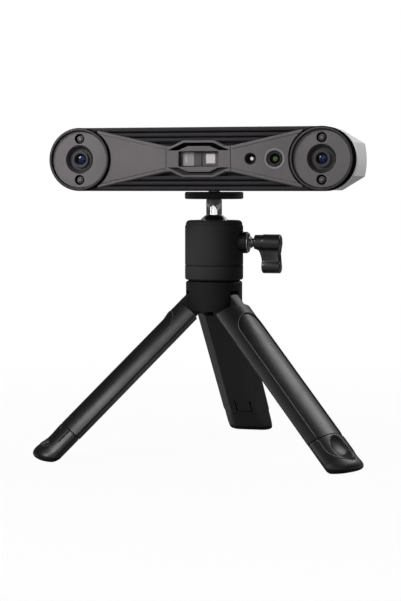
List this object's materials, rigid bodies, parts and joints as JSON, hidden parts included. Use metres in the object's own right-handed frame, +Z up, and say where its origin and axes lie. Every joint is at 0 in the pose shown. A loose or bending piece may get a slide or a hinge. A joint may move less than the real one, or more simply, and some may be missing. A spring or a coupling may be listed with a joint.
{
  "type": "tabletop three-d scanner on a folding mini tripod",
  "caption": "Bar-shaped stereo structured-light scanner with round lens ends, on a ball head with a wing knob and a folding mini tripod with pull-out feet.",
  "frame": {"origin": "on the floor, on the axis of the tripod and its ball head", "axes": "+Z up, -Y the way the scanner's lenses look, +X towards the clamp knob"},
  "size_m": [0.1822, 0.1595, 0.1779],
  "materials": {
    "hub_plastic": "satin black moulded plastic",
    "pin_steel": "blackened steel",
    "washer_plastic": "matt black sliding washer",
    "head_metal": "black satin anodised",
    "seat_plastic": "natural plain-bearing plastic",
    "ball_chrome": "polished chrome",
    "plate_metal": "black satin anodised",
    "screw_steel": "bright zinc-plated steel",
    "plunger_brass": "turned brass",
    "bushing_metal": "black anodised, bright bevel",
    "knob_plastic": "glossy black plastic",
    "leg_plastic": "satin black moulded plastic",
    "foot_plastic": "satin black moulded plastic",
    "sole_rubber": "matt black rubber",
    "front_housing": "dark warm-grey bead-blasted anodised",
    "front_panel": "dark warm-grey fine matt paint",
    "lens_rim": "dark warm-grey anodised",
    "lens_disc": "warm-grey fine matt paint",
    "lens_barrel": "matt black anodised",
    "lens_glass": "coated glass, blue and violet reflections",
    "colour_lens_glass": "coated glass, green reflections",
    "lamp_lens": "dark infrared lamp dome",
    "window_glass": "clear flat glass",
    "projector_grey": "light-grey optical module",
    "projector_pale": "pale optical module with a bright square",
    "flash_white": "white lamp dome",
    "colour_ring": "grey satin anodised",
    "bar_metal": "plain milled",
    "circuit_board": "green solder mask",
    "chip_plastic": "black moulded chip",
    "rear_cover": "light silver-grey satin paint",
    "insert_brass": "turned brass",
    "socket_steel": "drawn steel shell",
    "button_plastic": "dark grey satin plastic",
    "light_plastic": "milky light pipe"
  },
  "bodies": {
    "tripod_hub": {"hub": "hub_plastic", "leg_pins": "pin_steel", "pan_washer": "washer_plastic", "head_screw": "screw_steel"},
    "head": {"head_base": "head_metal", "head_housing": "head_metal", "clamp_bushing": "bushing_metal"},
    "seat": {"ball_seat": "seat_plastic"},
    "ball": {"ball_stem": "ball_chrome", "mount_plate": "plate_metal", "tripod_screw": "screw_steel"},
    "plunger": {"clamp_plunger": "plunger_brass"},
    "knob": {"clamp_screw": "screw_steel", "clamp_knob": "knob_plastic"},
    "button": {"push_button": "button_plastic"},
    "rear_leg_body": {"rear_leg": "leg_plastic"},
    "rear_foot_body": {"rear_foot": "foot_plastic", "rear_sole": "sole_rubber"},
    "left_leg_body": {"left_leg": "leg_plastic"},
    "left_foot_body": {"left_foot": "foot_plastic", "left_sole": "sole_rubber"},
    "right_leg_body": {"right_leg": "leg_plastic"},
    "right_foot_body": {"right_foot": "foot_plastic", "right_sole": "sole_rubber"},
    "scanner": {"front_housing": "front_housing", "front_panel": "front_panel", "lamps": "lamp_lens", "projector_window": "window_glass", "line_projector": "projector_grey", "pattern_projector": "projector_pale", "flash_lamp": "flash_white", "colour_camera_ring": "colour_ring", "colour_camera_barrel": "lens_barrel", "colour_camera_glass": "colour_lens_glass", "colour_camera_board": "circuit_board", "optics_bar": "bar_metal", "main_board": "circuit_board", "processor": "chip_plastic", "cover_screws": "screw_steel", "rear_cover": "rear_cover", "tripod_insert": "insert_brass", "usb_socket": "socket_steel", "port_board": "circuit_board", "key_switch": "chip_plastic", "status_light": "light_plastic", "left_lens_rim": "lens_rim", "left_lens_disc": "lens_disc", "left_lens_barrel": "lens_barrel", "left_lens_glass": "lens_glass", "left_camera_board": "circuit_board", "right_lens_rim": "lens_rim", "right_lens_disc": "lens_disc", "right_lens_barrel": "lens_barrel", "right_lens_glass": "lens_glass", "right_camera_board": "circuit_board"}
  },
  "joints": [
    {"name": "head_pan", "type": "hinge", "parent": "tripod_hub", "child": "head", "pos_m": [0, 0, 0.09524], "axis": [0, 0, 1], "continuous": true},
    {"name": "ball_turn", "type": "hinge", "parent": "head", "child": "seat", "pos_m": [0, 0, 0.12284], "axis": [0, 0, 1], "continuous": true},
    {"name": "ball_tilt", "type": "hinge", "parent": "seat", "child": "ball", "pos_m": [0, 0, 0.12284], "axis": [1, 0, 0], "range_deg": [-30, 30]},
    {"name": "scanner_turn", "type": "hinge", "parent": "ball", "child": "scanner", "pos_m": [0, 0, 0.14344], "axis": [0, 0, 1], "range_deg": [-140, 140]},
    {"name": "button_press", "type": "slide", "parent": "scanner", "child": "button", "axis": [0, -1, 0], "range_m": [0, 0.0006], "stiffness_N_per_m": 1500, "springref_m": -0.0004},
    {"name": "knob_turn", "type": "hinge", "parent": "head", "child": "knob", "pos_m": [0.0197, 0, 0.11564], "axis": [1, 0, 0], "range_deg": [-90, 90]},
    {"name": "plunger_slide", "type": "slide", "parent": "head", "child": "plunger", "axis": [1, 0, 0], "range_m": [-0.00026, 0.00026]},
    {"name": "rear_leg_fold", "type": "hinge", "parent": "tripod_hub", "child": "rear_leg_body", "pos_m": [0, 0.01, 0.08274], "axis": [-1, 0, 0], "range_deg": [0, 45.9]},
    {"name": "rear_foot_pull", "type": "slide", "parent": "rear_leg_body", "child": "rear_foot_body", "axis": [0, 0.7181, -0.6959], "range_m": [0, 0.03]},
    {"name": "left_leg_fold", "type": "hinge", "parent": "tripod_hub", "child": "left_leg_body", "pos_m": [-0.00866, -0.005, 0.08274], "axis": [0.5, -0.866, 0], "range_deg": [0, 45.9]},
    {"name": "left_foot_pull", "type": "slide", "parent": "left_leg_body", "child": "left_foot_body", "axis": [-0.6219, -0.3591, -0.6959], "range_m": [0, 0.03]},
    {"name": "right_leg_fold", "type": "hinge", "parent": "tripod_hub", "child": "right_leg_body", "pos_m": [0.00866, -0.005, 0.08274], "axis": [0.5, 0.866, 0], "range_deg": [0, 45.9]},
    {"name": "right_foot_pull", "type": "slide", "parent": "right_leg_body", "child": "right_foot_body", "axis": [0.6219, -0.3591, -0.6959], "range_m": [0, 0.03]}
  ],
  "couplings": [
    {"joint": "plunger_slide", "follows": "knob_turn", "m_per_rad": 0.00015915}
  ]
}
